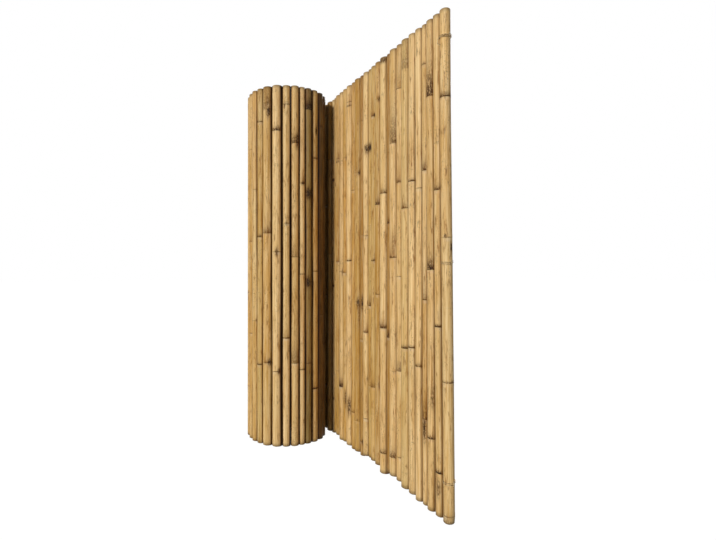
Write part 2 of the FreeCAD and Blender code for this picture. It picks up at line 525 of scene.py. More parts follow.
@dataclass(frozen=True)
class CaneAxis:
    """Where a packed cane stands and how thick it is."""

    foot: Vector
    head: Vector
    foot_radius: float
    head_radius: float
    nodes: tuple[float, ...]

    def at(self, height: float) -> Vector:
        """The point of the axis at a height above the ground."""
        return self.foot.lerp(self.head, (height - self.foot.z) / (self.head.z - self.foot.z))


class Trace(Enum):
    """How a mark lies on a cane."""

    SPOT = "spot"
    SHEATH = "sheath"


@dataclass(frozen=True)
class Mark:
    """A discolouring that one cane carries: a round spot, or the print of a leaf sheath above a node; a few
    spots are painted shadow.
    """

    height: float
    length: float
    strength: float = 0.8
    aside: float = 0.0
    width: float = 0.006
    trace: Trace = Trace.SPOT


def sheath(height: float, length: float, strength: float = 0.6) -> Mark:
    """A brown print that is sharp at a node and fades upwards all round the cane."""
    return Mark(height, length, strength, 0.0, 0.05, Trace.SHEATH)


@dataclass(frozen=True)
class Cast:
    """Colour of one cane beyond the common straw; its last value is painted shade that darkens a cane lying
    in shadow.
    """

    tone: float = 0.5
    olive: float = 0.0
    brown: float = 0.0
    shadow_darkening: float = 0.0


@dataclass(frozen=True)
class CreaseShade:
    """Painted shade in the creases between touching canes, where shade falls.

    It begins where the stem's round looks to the neighbour by start, from 0 to 1, and is at its strength by
    full. The beginning strays by sway up the cane, and the side towards the cane before, which is the lit
    side, keeps only a share of it.
    """

    strength: float
    start: float
    full: float
    sway: float = 0.0
    share: float = 1.0


@dataclass(frozen=True)
class Ring:
    """A swelling about a node: how far it stands out, its middle above the node and its half width."""

    height: float
    middle: float
    width: float


@dataclass(frozen=True)
class Neighbour:
    """Where a cane meets the one next to it: its direction, the half width that way, and if it is there."""

    angle: float
    reach: float
    met: bool = True


@dataclass
class PackedCanes:
    """Reads the canes' places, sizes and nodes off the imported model."""

    nodes: dict[str, bpy.types.Object]
    foot_band: float = 20 * MM
    head_band: float = 1.5 * MM
    ridge_seen: float = 0.35 * MM
    level_gap: float = 2 * MM
    level_face: float = 0.98
    decimals: int = 5

    def ends(self, mesh: bpy.types.Mesh, way: int, low: float, high: float) -> list[tuple[Vector, float]]:
        """Middle and half width of each flat end between two heights.

        Args:
            mesh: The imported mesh.
            way: 1 for ends that look up, -1 for ends that look down.
            low: Lowest height taken.
            high: Highest height taken.

        Returns:
            The ends.
        """
        points = [v.co for v in mesh.vertices]
        groups: list[set[int]] = []
        for polygon in mesh.polygons:
            corners = set(polygon.vertices)
            if polygon.normal.z * way < self.level_face or not low <= polygon.center.z <= high:
                continue
            joined = [g for g in groups if self.touch(points, g, corners)]
            groups = [g for g in groups if g not in joined] + [corners.union(*joined)]
        return [self.middle(np.array([points[k] for k in sorted(g)])) for g in groups]

    def touch(self, points: list[Vector], one: set[int], other: set[int]) -> bool:
        """Whether two sets of corners have a place in common."""
        first, second = ({points[k].to_tuple(self.decimals) for k in corners} for corners in (one, other))
        return not first.isdisjoint(second)

    def middle(self, ring: np.ndarray) -> tuple[Vector, float]:
        """Middle and half width across flats of one end face.

        Args:
            ring: The face's corners.

        Returns:
            The middle and the half width.
        """
        centre = (ring.max(0) + ring.min(0)) / 2
        reach = np.hypot(*(ring[:, :2] - centre[:2]).T).max()
        return Vector(centre), float(reach * math.cos(math.pi / CAD_FLATS))

    def levels(self, points: np.ndarray, axis: CaneAxis) -> tuple[float, ...]:
        """Heights of the raised nodes of a single cane.

        Args:
            points: The mesh's points.
            axis: The cane's axis.

        Returns:
            The heights, lowest first.
        """
        share = ((points[:, 2] - axis.foot.z) / (axis.head.z - axis.foot.z))[:, None]
        away = points - (np.array(axis.foot) * (1 - share) + np.array(axis.head) * share)
        flat = np.hypot(away[:, 0], away[:, 1]) * math.cos(math.pi / CAD_FLATS)
        rise = flat - (axis.foot_radius + (axis.head_radius - axis.foot_radius) * share[:, 0])
        found: list[float] = []
        for z in sorted(points[(rise > self.ridge_seen) & (rise < 4 * self.ridge_seen)][:, 2]):
            if not found or z - found[-1] > self.level_gap:
                found.append(float(z))
        return tuple(found)

    def axes(self, name: str) -> list[CaneAxis]:
        """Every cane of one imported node.

        Args:
            name: The node's name.

        Returns:
            The canes in no set order.
        """
        mesh = self.nodes[name].data
        points = np.array([v.co for v in mesh.vertices])
        top = points[:, 2].max()
        feet = self.ends(mesh, -1, -1.0, self.foot_band)
        heads = self.ends(mesh, 1, top - self.head_band, top + self.head_band)
        found = []
        for foot, foot_radius in feet:
            head, head_radius = min(heads, key=lambda h: (h[0].xy - foot.xy).length)
            axis = CaneAxis(foot, head, foot_radius, head_radius, ())
            found.append(replace(axis, nodes=self.levels(points, axis)) if len(feet) == 1 else axis)
        return found


@dataclass
class Cane:
    """One cane: a lathed stem with raised nodes, slight crooks, a grooved side and hollow sawn ends."""

    number: int
    axis: CaneAxis
    cast: Cast
    marks: tuple[Mark, ...]
    before: Neighbour
    after: Neighbour
    spare: float
    # Painted shade in the creases against the neighbours.
    crease_shade: CreaseShade
    facing: float
    sides: int = 28
    step: float = 10 * MM
    wall: float = 4.2 * MM
    widest_bore: float = 0.62
    hollow_depth: float = 45 * MM
    bevel: float = 0.5 * MM
    crook: float = 0.9 * MM
    fuller: float = 0.35 * MM
    groove_depth: float = 0.4 * MM
    scar_height: float = 0.5 * MM
    groove_share: float = 0.55
    groove_strength: Range = (0.3, 1)
    groove_width: float = 2.8 * MM
    groove_fade: float = 90 * MM
    groove_length: float = 260 * MM
    scar_share: float = 0.4
    scar_rise: float = 3.5 * MM
    scar_length: float = 2.4 * MM
    scar_width: float = 2.2 * MM
    worn_length: float = 4 * MM
    line_strength: Range = (0.3, 1)
    line_least: float = 0.35
    line_aside: Range = (-1.1, 1.1)
    line_width: Range = (0.4, 1.5)
    smudge_strength: Range = (-0.3, 1)
    smudge_aside: Range = (-1.3, 1.3)
    smudge_width: Range = (0.3, 1.2)
    smudge_above: Range = (3 * MM, 30 * MM)
    smudge_below: float = 2 * MM
    sheath_edge: float = -0.3 * MM
    sheath_falloff: float = 1.5
    tone_drift: float = 0.12
    tone_stops: int = 6
    crease_shade_stops: int = 8
    tone_jump: Range = (-0.16, 0.16)
    olive_jump: Range = (-0.12, 0.14)
    brown_jump: Range = (-0.12, 0.16)
    node_rings: tuple[Ring, ...] = (
        Ring(0.38 * MM, 0, 0.9 * MM),
        Ring(-0.28 * MM, 1.5 * MM, 0.7 * MM),
        Ring(0.42 * MM, 3.4 * MM, 2.4 * MM),
        Ring(0.22 * MM, -4 * MM, 5 * MM),
    )
    below_node: tuple[float, ...] = (-22, -14, -9, -6, -4, -2.6, -1.5, -0.7)
    above_node: tuple[float, ...] = (0, 0.7, 1.4, 2.2, 3.2, 4.6, 6.5, 10, 16)
    rng: np.random.Generator = field(init=False)

    def __post_init__(self) -> None:
        """Seeds the cane's own random draws."""
        self.rng = np.random.default_rng(self.number)

    def bend(self) -> float:
        """Angle from the neighbour before round to the one after."""
        return (self.after.angle - self.before.angle) % FULL_TURN

    def turns(self) -> np.ndarray:
        """Places the stem's sides, with a corner towards each neighbour.

        Returns:
            The angle of each side.
        """
        half = self.sides // 2
        start, turn = self.before.angle, self.bend()
        there = start + turn * np.arange(half) / half
        back = start + turn + (FULL_TURN - turn) * np.arange(half) / half
        return np.concatenate([there, back])

    def lobes(self, turn: np.ndarray) -> tuple[np.ndarray, np.ndarray]:
        """How much each side of the stem looks to the neighbour before and to the one after."""
        toward = (np.cos(turn - neighbour.angle) for neighbour in (self.before, self.after))
        return tuple(np.maximum(cosine, 0) ** 2 for cosine in toward)

    def heights(self) -> np.ndarray:
        """Places the rings, close together about the nodes.

        Returns:
            The height of each ring.
        """
        foot, head = self.axis.foot.z, self.axis.head.z
        wanted = list(np.arange(foot, head, self.step))
        for node in self.axis.nodes:
            wanted += [node + offset * MM for offset in self.below_node + self.above_node]
        kept = [foot, foot + self.bevel]
        for z in sorted(wanted):
            if kept[-1] + self.bevel < z < head - 2 * self.bevel:
                kept.append(z)
        return np.array([*kept, head - self.bevel, head])

    def relief(self, rise: np.ndarray) -> np.ndarray:
        """Swelling of the stem at a height above a node."""
        return sum(ring.height * bell(rise - ring.middle, ring.width) for ring in self.node_rings)

    def crooks(self, levels: np.ndarray) -> np.ndarray:
        """Sideways offset of the stem, which changes direction a little at each node.

        Args:
            levels: Heights of the rings.

        Returns:
            One plan offset for each ring.
        """
        stops = [self.axis.foot.z, *self.axis.nodes, self.axis.head.z]
        free = self.rng.uniform(-1, 1, len(stops)) * min(self.crook, max(self.spare - self.fullness(), 0))
        middle = self.before.angle + self.bend() / 2
        across = np.array([math.cos(middle), math.sin(middle), 0])
        return np.interp(levels, stops, free)[:, None] * across

    def fullness(self) -> float:
        """What the stem gains in half width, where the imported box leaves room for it."""
        return min(self.fuller, max(self.spare, 0))

    def around(self, turn: np.ndarray, aside: float, width: float) -> np.ndarray:
        """A soft patch on the stem's round.

        Args:
            turn: Angles of the stem's sides.
            aside: Angle of the patch's middle from the side that faces the viewer.
            width: Its half width as an angle.

        Returns:
            The patch's weight at each side, from 0 to 1.
        """
        return bell(self.off(turn, self.facing + aside), width)

    @staticmethod
    def off(turn: np.ndarray, angle: float) -> np.ndarray:
        """Angle between each side and a direction, from minus to plus half a turn."""
        return (turn - angle + math.pi) % FULL_TURN - math.pi

    def joints(self, levels: np.ndarray, turn: np.ndarray) -> tuple[np.ndarray, np.ndarray, np.ndarray]:
        """What the skin needs to know of the nearest node.

        Args:
            levels: Heights of the rings.
            turn: Angles of the stem's sides.

        Returns:
            Each point's height above that node, how plain the node's line is there, and the brown of
            the smudges about it.
        """
        rises = np.full(len(levels), NODE_SPAN / 2)
        line, char = np.zeros((2, len(levels), len(turn)))
        nearest = np.full(len(levels), np.inf)
        draw = self.rng.uniform
        for node in self.axis.nodes:
            plain = draw(*self.line_strength)
            seen = self.around(turn, draw(*self.line_aside), draw(*self.line_width))
            dark = max(draw(*self.smudge_strength), 0)
            smudge = dark * self.around(turn, draw(*self.smudge_aside), draw(*self.smudge_width))
            fade = draw(*self.smudge_above)
            rise = levels - node
            away = np.abs(rise)
            char += np.outer(np.exp(-away / np.where(rise > 0, fade, self.smudge_below)), smudge)
            closer = away < nearest
            nearest[closer] = away[closer]
            rises[closer] = rise[closer]
            line[closer] = plain * (self.line_least + (1 - self.line_least) * seen)
        return rises, line, np.clip(char, 0, 1)

    def tints(self, levels: np.ndarray) -> np.ndarray:
        """Tone, olive and brown of the rings, which change a little at every node.

        Args:
            levels: Heights of the rings.

        Returns:
            Three columns with a value from 0 to 1 for each ring.
        """
        stretch = np.searchsorted(self.axis.nodes, levels)
        tone = self.cast.tone + self.drift(levels, self.tone_stops, self.tone_drift)
        columns = []
        for common, jump in (
            (tone, self.tone_jump),
            (self.cast.olive, self.olive_jump),
            (self.cast.brown, self.brown_jump),
        ):
            columns.append(common + self.rng.uniform(*jump, len(self.axis.nodes) + 1)[stretch])
        return np.clip(columns, 0, 1)[:, :, None]

    def share(self, levels: np.ndarray) -> np.ndarray:
        """How far up the cane each ring is, from 0 to 1."""
        return (levels - self.axis.foot.z) / (self.axis.head.z - self.axis.foot.z)

    def drift(self, levels: np.ndarray, stops: int, most: float) -> np.ndarray:
        """A value for each ring that wanders up to most either way, between random evenly spaced stops."""
        return np.interp(self.share(levels), np.linspace(0, 1, stops), self.rng.uniform(-most, most, stops))

    def side_marks(self, levels: np.ndarray, turn: np.ndarray) -> tuple[np.ndarray, np.ndarray]:
        """The groove that runs up from a bud and the bud's own scar, side about with each node.

        Args:
            levels: Heights of the rings.
            turn: Angles of the stem's sides.

        Returns:
            A mask of the groove and a mask of the scars.
        """
        groove = np.zeros((len(levels), len(turn)))
        scar = np.zeros_like(groove)
        start = self.rng.uniform(0, FULL_TURN)
        for k, node in enumerate(self.axis.nodes):
            reach = self.axis.foot_radius * self.off(turn, start + math.pi * k)
            rise = levels - node
            if self.rng.random() < self.groove_share:
                fade = np.exp(-np.abs(rise) / self.groove_fade) * (rise > 0) * (rise < self.groove_length)
                strength = self.rng.uniform(*self.groove_strength)
                groove += np.outer(fade, bell(reach, self.groove_width)) * strength
            if self.rng.random() < self.scar_share:
                scar += np.outer(bell(rise - self.scar_rise, self.scar_length), bell(reach, self.scar_width))
        return groove, scar

    def stains_and_shadows(self, levels: np.ndarray, turn: np.ndarray) -> np.ndarray:
        """Strength of the cane's marks, discolouring and painted shadow alike, at each point of its skin.

        Args:
            levels: Heights of the rings.
            turn: Angles of the stem's sides.

        Returns:
            One strength for each point, from 0 to 1.
        """
        out = np.zeros((len(levels), len(turn)))
        for mark in self.marks:
            rise = levels - mark.height
            if mark.trace is Trace.SHEATH:
                upright = np.exp(-((np.maximum(rise, 0) / mark.length) ** self.sheath_falloff))
                upright = upright * (rise > self.sheath_edge)
            else:
                upright = bell(rise, mark.length / 2)
            across = self.around(turn, mark.aside, mark.width / self.axis.foot_radius)
            out = np.maximum(out, np.outer(upright, across) * mark.strength)
        return out

    def radii(self, levels: np.ndarray, turn: np.ndarray, relief: np.ndarray) -> np.ndarray:
        """Shape of the stem's round at each height.

        Args:
            levels: Heights of the rings.
            turn: Angles of the stem's sides.
            relief: What the scars add, less what the groove takes.

        Returns:
            The radius of each ring at each side.
        """
        plain = self.axis.foot_radius + (self.axis.head_radius - self.axis.foot_radius) * self.share(levels)
        first, second = self.lobes(turn)
        touching = np.minimum(first + second, 1)
        oval = self.fullness() * (1 - touching)[None, :]
        for lobe, neighbour in ((first, self.before), (second, self.after)):
            oval = oval + (neighbour.reach - plain[:, None]) * lobe[None, :]
        swell = sum((self.relief(levels - node) for node in self.axis.nodes), np.zeros(len(levels)))
        body = plain[:, None] + oval + swell[:, None] * (1 - touching)[None, :] + relief
        body[[0, -1]] -= self.bevel
        return body

    def crease_shading(self, levels: np.ndarray, turn: np.ndarray) -> np.ndarray:
        """Painted shade at each point, where the cane lies against its neighbours and shade falls between
        them.

        Args:
            levels: Heights of the rings.
            turn: Angles of the stem's sides.

        Returns:
            The strength at each point, from 0 to 1.
        """
        first, second = self.lobes(turn)
        crease_shade = self.crease_shade
        covered = first * self.before.met * crease_shade.share + second * self.after.met
        sway = self.drift(levels, self.crease_shade_stops, crease_shade.sway)
        reached = covered[None, :] - crease_shade.start + sway[:, None]
        return np.clip(reached / (crease_shade.full - crease_shade.start), 0, 1) * crease_shade.strength

    def build(self, name: str, finishes: Finishes) -> bpy.types.Object:
        """Makes the cane's mesh and dresses it.

        Args:
            name: The piece's name.
            finishes: The materials.

        Returns:
            The cane.
        """
        levels, turn = self.heights(), self.turns()
        groove, scar = self.side_marks(levels, turn)
        rises, line, char = self.joints(levels, turn)
        body = self.radii(levels, turn, self.scar_height * scar - self.groove_depth * groove)
        centre = np.array([self.axis.at(z) for z in levels]) + self.crooks(levels)
        ways = np.stack([np.cos(turn), np.sin(turn), np.zeros_like(turn)], 1)
        mesh = self.closed(name, centre, body, ways)
        beyond = np.minimum(levels - levels[0], levels[-1] - levels)[:, None]
        worn = np.exp(-beyond / self.worn_length)
        near = np.clip(rises / NODE_SPAN + 0.5, 0, 1)[:, None]
        self.paint(mesh, "tint", *self.tints(levels))
        self.paint(mesh, "marks", scar, self.stains_and_shadows(levels, turn), groove)
        self.paint(mesh, "joint", near, line, char)
        # Painted shade in the creases, real weathering at the sawn ends, and painted shade over a cane in
        # shadow.
        self.paint(mesh, "edge", self.crease_shading(levels, turn), worn, self.cast.shadow_darkening)
        for material in (finishes.skin, finishes.cut, finishes.hollow):
            mesh.materials.append(material)
        return placed(name, mesh)

    def closed(self, name: str, centre: np.ndarray, body: np.ndarray, ways: np.ndarray) -> bpy.types.Mesh:
        """Joins the rings into one closed mesh with a hollow at both ends.

        Args:
            name: The mesh's name.
            centre: Middle of each ring.
            body: Radius of each ring at each side.
            ways: Unit directions of the sides.

        Returns:
            The mesh.
        """
        rings, count = body.shape
        skin = centre[:, None, :] + body[:, :, None] * ways[None, :, :]
        hollows = []
        for end, way in ((0, 1), (rings - 1, -1)):
            mean = float(body[end].mean())
            lip = centre[end] + min(mean - self.wall, self.widest_bore * mean) * ways
            hollows += [lip, lip + np.array([0, 0, way * self.hollow_depth])]
        foot_lip, foot_floor, head_lip, head_floor = (count * (rings + k) for k in range(4))
        head = count * (rings - 1)
        bands = [(count * k, count * (k + 1), Zone.SKIN) for k in range(rings - 1)]
        bands += [(foot_lip, 0, Zone.CUT), (foot_floor, foot_lip, Zone.HOLLOW)]
        bands += [(head, head_lip, Zone.CUT), (head_lip, head_floor, Zone.HOLLOW)]
        faces, zones = [], []
        for low, high, zone in bands:
            for k in range(count):
                after = (k + 1) % count
                faces.append((low + k, low + after, high + after, high + k))
            zones += [zone.value] * count
        faces.append(tuple(foot_floor + k for k in reversed(range(count))))
        faces.append(tuple(head_floor + k for k in range(count)))
        zones += [Zone.HOLLOW.value] * 2
        made = bpy.data.meshes.new(name)
        made.from_pydata(np.concatenate([skin.reshape(-1, 3), *hollows]).tolist(), [], faces)
        made.polygons.foreach_set("material_index", zones)
        made.polygons.foreach_set("use_smooth", [zone != Zone.CUT.value for zone in zones])
        return made

    def paint(self, mesh: bpy.types.Mesh, name: str, *masks: np.ndarray | float) -> None:
        """Writes three masks as one colour attribute, nought on the points that aren't skin.

        Args:
            mesh: The cane's mesh.
            name: The attribute's name.
            masks: Values for each ring and side, or one for all the sides of a ring, or one for all.
        """
        colour = np.zeros((len(mesh.vertices), 4))
        skin = colour[: len(mesh.vertices) - 4 * self.sides].reshape(-1, self.sides, 4)
        skin[:, :, 3] = 1
        for k, mask in enumerate(masks):
            skin[:, :, k] = mask
        layer = mesh.attributes.new(name, "FLOAT_COLOR", "POINT")
        layer.data.foreach_set("color", colour.astype(np.float32).ravel())


@dataclass
class CaneMat:
    """All the canes in their order along the wires, from the free end inwards."""

    frame_nodes: dict[str, bpy.types.Object]
    finishes: Finishes
    viewer: Vector
    limits: tuple[Vector, Vector]
    single_canes: int = 56
    open_canes: int = 27
    last_shaded: int = 43
    hidden_node: str = "inner_canes"
    hidden_internode: float = 280 * MM
    press: float = 0.02 * MM
    ridge: float = 0.56 * MM
    widest: float = 1.9 * MM
    lone: float = 0.3 * MM
    lowest_node: float = 50 * MM
    node_stagger: float = 0.618
    headroom: float = 20 * MM
    cast_seed: int = 1000
    common_tone: Range = (0.35, 0.9)
    green_share: float = 0.2
    green: Range = (0.3, 0.6)
    brown_share: float = 0.2
    brown: Range = (0.2, 0.5)
    # Painted shade in the creases between canes, stronger the deeper a cane lies in the roll's shadow.
    open_crease_shade: CreaseShade = CreaseShade(0.6, 0.6, 0.95, 0.1)
    rolled_crease_shade: CreaseShade = CreaseShade(0.85, 0.6, 0.88, 0.16, 0.9)
    deep_crease_shade: CreaseShade = CreaseShade(1.0, 0.36, 0.7, 0.14, 0.85)
    axes: list[CaneAxis] = field(init=False)

    # The fourth value of a cast is painted shade over the whole cane, strongest on the canes in the shadow
    # of the roll's crease.
    casts: ClassVar[dict[int, Cast]] = {
        1: Cast(0.9),
        2: Cast(0.65, 0.1),
        3: Cast(0.65, 0.0, 0.15),
        4: Cast(0.65),
        5: Cast(1.0),
        6: Cast(1.0),
        7: Cast(0.8, 0.34),
        8: Cast(0.75),
        9: Cast(0.8, 0.05, 0.05),
        10: Cast(0.1, 0.1, 0.35, 0.2),
        11: Cast(0.85),
        12: Cast(0.2, 0.15, 0.15, 0.06),
        13: Cast(0.5, 0.36),
        14: Cast(0.4, 0.4),
        15: Cast(0.85),
        16: Cast(0.1, 0.1, 0.35, 0.2),
        17: Cast(0.2, 0.4, 0.3),
        18: Cast(0.3, 0.1, 0.05, 0.05),
        19: Cast(0.8),
        20: Cast(0.35, 0.1, 0.05, 0.03),
        21: Cast(0.85),
        22: Cast(0.4, 0.15, 0.05),
        23: Cast(0.4, 0.1, 0.1),
        24: Cast(1.0),
        25: Cast(0.3, 0.1, 0.3, 0.15),
        26: Cast(0.3, 0.1, 0.3, 0.2),
        39: Cast(0.5, 0.1, 0.0, 0.05),
        40: Cast(0.5, 0.1, 0.0, 0.05),
        41: Cast(0.6, 0.1, 0.0, 0.02),
        42: Cast(0.45, 0.35, 0.0, 0.06),
        43: Cast(0.6, 0.15, 0.12),
        44: Cast(1.0),
        45: Cast(1.0, 0.12),
        46: Cast(0.85, 0.15),
        47: Cast(1.0),
        48: Cast(0.3, 0.75, 0.15, 0.45),
        49: Cast(0.5, 0.25, 0.35),
        50: Cast(0.2, 0.1, 0.4, 0.72),
        51: Cast(0.2, 0.3, 0.4, 0.82),
        52: Cast(0.2, 0.3, 0.4, 0.85),
        53: Cast(0.2, 0.3, 0.4, 0.85),
    }
    marks: ClassVar[dict[int, tuple[Mark, ...]]] = {
        1: (
            sheath(0.826, 0.010, 0.8), sheath(0.270, 0.004, 0.7), sheath(0.0, 0.024, 0.5),
            Mark(0.010, 0.010, 0.42, 0.1, 0.016), Mark(0.533, 0.026, 1.0, 0.95, 0.004),
            Mark(0.555, 0.010, 1.0, -0.3, 0.003),
        ),
        2: (
            Mark(0.89, 0.05, 0.5, 0.9), Mark(0.932, 0.009, 1.0, 0.9, 0.004), Mark(0.40, 0.05, 0.3),
            sheath(0.375, 0.006, 1.0), sheath(0.648, 0.012, 0.7), sheath(0.085, 0.008, 1.0),
            Mark(0.055, 0.05, 0.7, -0.5),
        ),
        3: (
            sheath(0.843, 0.075, 0.8), Mark(0.23, 0.06, 0.65), sheath(0.489, 0.025, 0.95),
            Mark(0.57, 0.08, 0.9, 0.9, 0.003), sheath(0.146, 0.006, 0.9),
        ),
        4: (
            Mark(0.055, 0.05, 1.0, 0.7, 0.003), sheath(0.178, 0.05, 0.6), Mark(0.16, 0.07, 0.85, -0.6),
            sheath(0.696, 0.02, 0.7), sheath(0.426, 0.04, 0.5), sheath(0.916, 0.006, 0.6),
        ),
        5: (sheath(0.284, 0.008, 0.7), Mark(0.69, 0.1, 0.25)),
        6: (sheath(0.68, 0.006, 0.8), sheath(0.32, 0.006, 0.8)),
        7: (sheath(0.935, 0.07, 0.45), sheath(0.625, 0.01, 0.6), sheath(0.315, 0.008, 0.8)),
        8: (sheath(0.899, 0.09, 0.4), sheath(0.259, 0.03, 0.6), sheath(0.687, 0.01, 0.4)),
        9: (
            sheath(0.781, 0.1, 0.62), Mark(0.787, 0.02, 0.8, 0.2), Mark(0.547, 0.07, 0.55, -0.4),
            sheath(0.517, 0.006, 0.7), Mark(0.335, 0.045, 1.0, 0.3, 0.004), sheath(0.055, 0.02, 0.7),
        ),
        10: (sheath(0.599, 0.01, 0.8), sheath(0.329, 0.02, 0.8)),
        11: (
            sheath(0.985, 0.02, 0.9), sheath(0.672, 0.012, 0.7), sheath(0.349, 0.012, 0.8),
            sheath(0.048, 0.012, 0.7),
        ),
        12: (Mark(0.908, 0.016, 0.9), sheath(0.649, 0.015, 0.8), Mark(0.206, 0.03, 0.7)),
        13: (Mark(0.876, 0.012, 1.0), sheath(0.511, 0.006, 0.7), sheath(0.195, 0.012, 0.6)),
        14: (Mark(0.801, 0.026, 1.0, -0.5, 0.012), sheath(0.397, 0.02, 0.6)),
        15: (Mark(0.801, 0.026, 1.0, 0.0, 0.009), sheath(0.327, 0.006, 0.7), Mark(0.208, 0.012, 0.5)),
        16: (Mark(0.037, 0.02, 1.0), Mark(0.402, 0.045, 1.0, 0.0, 0.01)),
        17: (Mark(0.748, 0.018, 0.9), Mark(0.4, 0.04, 0.9, -0.3), Mark(0.37, 0.08, 0.6)),
        18: (sheath(0.1, 0.008, 0.6),),
        19: (sheath(0.941, 0.006, 0.9), sheath(0.513, 0.006, 0.9), Mark(0.11, 0.06, 0.85, -0.5, 0.008)),
        20: (Mark(0.805, 0.03, 0.6), Mark(0.48, 0.02, 0.6), Mark(0.126, 0.06, 0.9, 0.0, 0.009)),
        21: (Mark(0.483, 0.03, 0.8), sheath(0.153, 0.02, 0.9)),
        22: (sheath(0.801, 0.012, 0.7), Mark(0.1, 0.08, 0.4)),
        24: (Mark(0.759, 0.01, 1.0), Mark(0.441, 0.01, 1.0), Mark(0.102, 0.01, 1.0)),
        41: (Mark(0.717, 0.02, 0.8, 0.4), Mark(0.343, 0.012, 0.8, 0.4)),
        42: (sheath(0.905, 0.006, 0.7), sheath(0.581, 0.01, 0.7), sheath(0.221, 0.006, 0.8)),
        43: (
            sheath(0.938, 0.08, 0.6), Mark(0.93, 0.036, 1.0, 0.1, 0.009), sheath(0.591, 0.02, 0.6),
            Mark(0.232, 0.024, 1.0, 0.3),
        ),
        44: (sheath(0.874, 0.012, 0.9), Mark(0.538, 0.03, 0.8, -0.2), Mark(0.208, 0.02, 0.9, 0.4)),
        45: (
            sheath(0.946, 0.006, 0.7), Mark(0.943, 0.012, 0.9, -0.7, 0.004), Mark(0.617, 0.016, 0.6),
            sheath(0.299, 0.006, 0.6), Mark(0.27, 0.05, 0.6, 0.8),
        ),
        # Cane 46's dark spot at its side near 0.85 m is painted shadow in a gap beside a crook.
        46: (
            sheath(0.841, 0.03, 0.8), Mark(0.85, 0.055, 1.0, 0.7, 0.0045),
            Mark(0.844, 0.014, 1.0, -0.9, 0.004), sheath(0.524, 0.03, 0.5), sheath(0.229, 0.06, 0.55),
        ),
        47: (Mark(0.731, 0.012, 0.9, 0.4), sheath(0.476, 0.004, 0.6), sheath(0.209, 0.004, 0.8)),
        # Cane 48's black spot at its node near 0.70 m is painted shadow in a gap at a crook.
        48: (
            sheath(0.94, 0.03, 1.0), Mark(0.704, 0.036, 1.0, 0.1, 0.012),
            Mark(0.708, 0.016, 1.0, -0.8, 0.005), Mark(0.454, 0.035, 1.0, 0.0, 0.01),
            sheath(0.225, 0.006, 0.6),
        ),
        49: (
            sheath(0.805, 0.006, 0.9), Mark(0.885, 0.036, 1.0, 0.8, 0.005), sheath(0.484, 0.004, 0.7),
            sheath(0.15, 0.006, 1.0),
        ),
    }

    def __post_init__(self) -> None:
        """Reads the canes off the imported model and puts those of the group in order."""
        packed = PackedCanes(self.frame_nodes)
        self.axes = [packed.axes(self.node_name(k))[0] for k in range(1, self.single_canes + 1)]
        rest = packed.axes(self.hidden_node)
        while rest:
            here = self.axes[-1].foot
            nearest = min(rest, key=lambda axis: (axis.foot - here).length)
            rest.remove(nearest)
            first = self.lowest_node + (len(self.axes) * self.node_stagger % 1) * self.hidden_internode
            nodes = tuple(np.arange(first, nearest.head.z - self.headroom, self.hidden_internode))
            self.axes.append(replace(nearest, nodes=nodes))

    @staticmethod
    def node_name(number: int) -> str:
        """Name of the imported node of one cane."""
        return f"cane_{number:02d}"

    def along(self, index: int) -> Vector:
        """Direction of the mat at a cane.

        Args:
            index: The cane.

        Returns:
            A level unit vector, from the free end inwards.
        """
        before = self.axes[max(index - 1, 0)].head
        after = self.axes[min(index + 1, len(self.axes) - 1)].head
        way = after - before
        way.z = 0
        return way.normalized()

    def neighbour(self, index: int, step: int) -> Neighbour:
        """Where a cane meets the next one along the mat.

        Args:
            index: The cane.
            step: -1 for the cane before it, 1 for the cane after it.

        Returns:
            The direction of the other cane, and half of the room between the two.
        """
        here = self.axes[index]
        radius = max(here.foot_radius, here.head_radius)
        if not 0 <= index + step < len(self.axes):
            way = self.along(index) * step
            return Neighbour(math.atan2(way.y, way.x), radius + self.lone, False)
        other = self.axes[index + step]
        way = other.head - here.head
        gap = way.xy.length - radius - max(other.foot_radius, other.head_radius)
        return Neighbour(math.atan2(way.y, way.x), radius + min(gap / 2 + self.press, self.widest))

    def spare(self, index: int) -> float:
        """Room between a cane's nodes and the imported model's box.

        Args:
            index: The cane.

        Returns:
            The room in metres, below nought where there is none.
        """
        here = self.axes[index]
        low, high = self.limits
        middle = here.head
        room = min(middle.x - low.x, high.x - middle.x, middle.y - low.y, high.y - middle.y)
        return room - max(here.foot_radius, here.head_radius) - self.ridge

    def crease_shade(self, number: int) -> CreaseShade:
        """Painted crease shade beside a cane: little in the open mat, more the deeper it lies in the roll.

        Args:
            number: The cane's number.

        Returns:
            The dirt.
        """
        if number < self.open_canes - 1:
            return self.open_crease_shade
        return self.rolled_crease_shade if number <= self.last_shaded else self.deep_crease_shade

    def cast(self, number: int) -> Cast:
        """Colour of one cane: known for some, drawn at random for the rest.

        Args:
            number: The cane's number.

        Returns:
            The colour.
        """
        if number in self.casts:
            return self.casts[number]
        rng = np.random.default_rng(self.cast_seed + number)
        tone, lot = rng.uniform(*self.common_tone), rng.random()
        if lot < self.green_share:
            return Cast(tone, rng.uniform(*self.green))
        if lot < self.green_share + self.brown_share:
            return Cast(tone, 0.0, rng.uniform(*self.brown))
        return Cast(tone)

